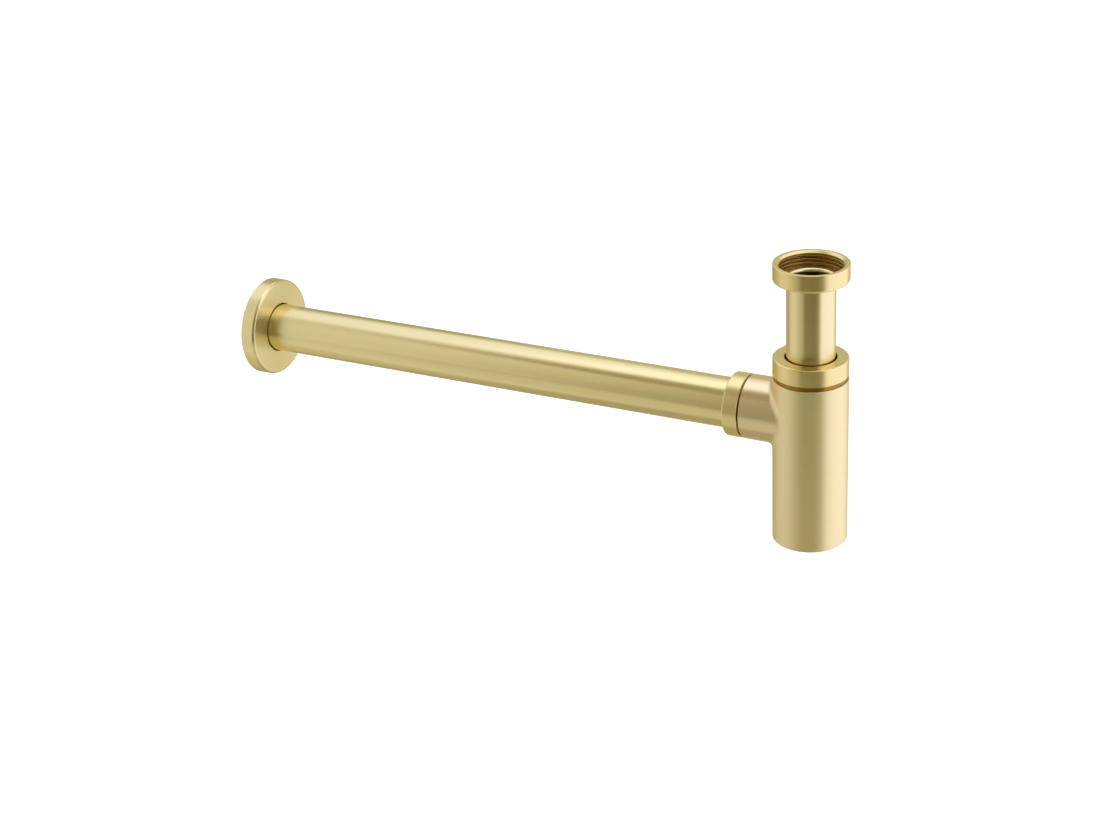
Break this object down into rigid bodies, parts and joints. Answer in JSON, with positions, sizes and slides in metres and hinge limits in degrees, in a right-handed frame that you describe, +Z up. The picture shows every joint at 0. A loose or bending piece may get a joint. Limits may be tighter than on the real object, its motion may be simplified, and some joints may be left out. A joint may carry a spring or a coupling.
{
  "type": "basin trap",
  "caption": "Cylindrical basin trap: union nut, dip tube in a bottle-shaped body, horizontal outlet tube and round wall flange, all in satin brass.",
  "frame": {"origin": "centre of the sealing face on top of the dip tube's collar, in the union nut", "axes": "+Z up along the axis of the bottle and out of the union nut; the outlet tube runs along -X to the wall"},
  "size_m": [0.4283, 0.0654, 0.183],
  "materials": {
    "satin_brass": "brushed satin",
    "cast_brass": "fine satin, a little paler and pinker",
    "black_plastic": "moulded, matt",
    "black_rubber": "moulded, matt"
  },
  "bodies": {
    "union": {"union_nut": "satin_brass"},
    "inlet": {"inlet_tube": "satin_brass"},
    "trap": {"bottle": "cast_brass", "neck_cone_seal": "black_rubber", "branch_cone_seal": "black_rubber"},
    "neck_ring": {"neck_slip_ring": "black_plastic"},
    "neck_nut_body": {"neck_nut": "satin_brass"},
    "branch_ring": {"branch_slip_ring": "black_plastic"},
    "branch_nut_body": {"branch_nut": "satin_brass"},
    "plug_ring": {"plug_o_ring": "black_rubber"},
    "plug_body": {"cleaning_plug": "satin_brass"},
    "outlet": {"outlet_tube": "satin_brass"},
    "flange": {"wall_flange": "satin_brass", "flange_o_ring": "black_rubber"}
  },
  "joints": [
    {"name": "inlet_swivel", "type": "hinge", "parent": "union", "child": "inlet", "pos_m": [0, 0, 0], "axis": [0, 0, 1], "continuous": true},
    {"name": "height_slide", "type": "slide", "parent": "inlet", "child": "trap", "axis": [0, 0, 1], "range_m": [-0.04, 0.008]},
    {"name": "neck_ring_slide", "type": "slide", "parent": "trap", "child": "neck_ring", "axis": [0, 0, 1], "range_m": [0, 0.00752]},
    {"name": "neck_nut_turn", "type": "hinge", "parent": "neck_ring", "child": "neck_nut_body", "pos_m": [0, 0, -0.057], "axis": [0, 0, 1], "range_deg": [0, 1800]},
    {"name": "branch_ring_slide", "type": "slide", "parent": "trap", "child": "branch_ring", "axis": [-1, 0, 0], "range_m": [0, 0.00677]},
    {"name": "branch_nut_turn", "type": "hinge", "parent": "branch_ring", "child": "branch_nut_body", "pos_m": [-0.046, 0, -0.0912], "axis": [-1, 0, 0], "range_deg": [0, 1620]},
    {"name": "plug_ring_slide", "type": "slide", "parent": "trap", "child": "plug_ring", "axis": [0, 0, -1], "range_m": [0, 0.00602]},
    {"name": "plug_turn", "type": "hinge", "parent": "plug_ring", "child": "plug_body", "pos_m": [0, 0, -0.17], "axis": [0, 0, -1], "range_deg": [0, 1440]},
    {"name": "outlet_slide", "type": "slide", "parent": "trap", "child": "outlet", "axis": [-1, 0, 0], "range_m": [-0.0055, 0.0125]},
    {"name": "flange_slide", "type": "slide", "parent": "outlet", "child": "flange", "axis": [1, 0, 0], "range_m": [0, 0.32]}
  ],
  "couplings": [
    {"joint": "neck_ring_slide", "follows": "neck_nut_turn", "m_per_rad": 0.00023873},
    {"joint": "branch_ring_slide", "follows": "branch_nut_turn", "m_per_rad": 0.00023873},
    {"joint": "plug_ring_slide", "follows": "plug_turn", "m_per_rad": 0.00023873}
  ]
}
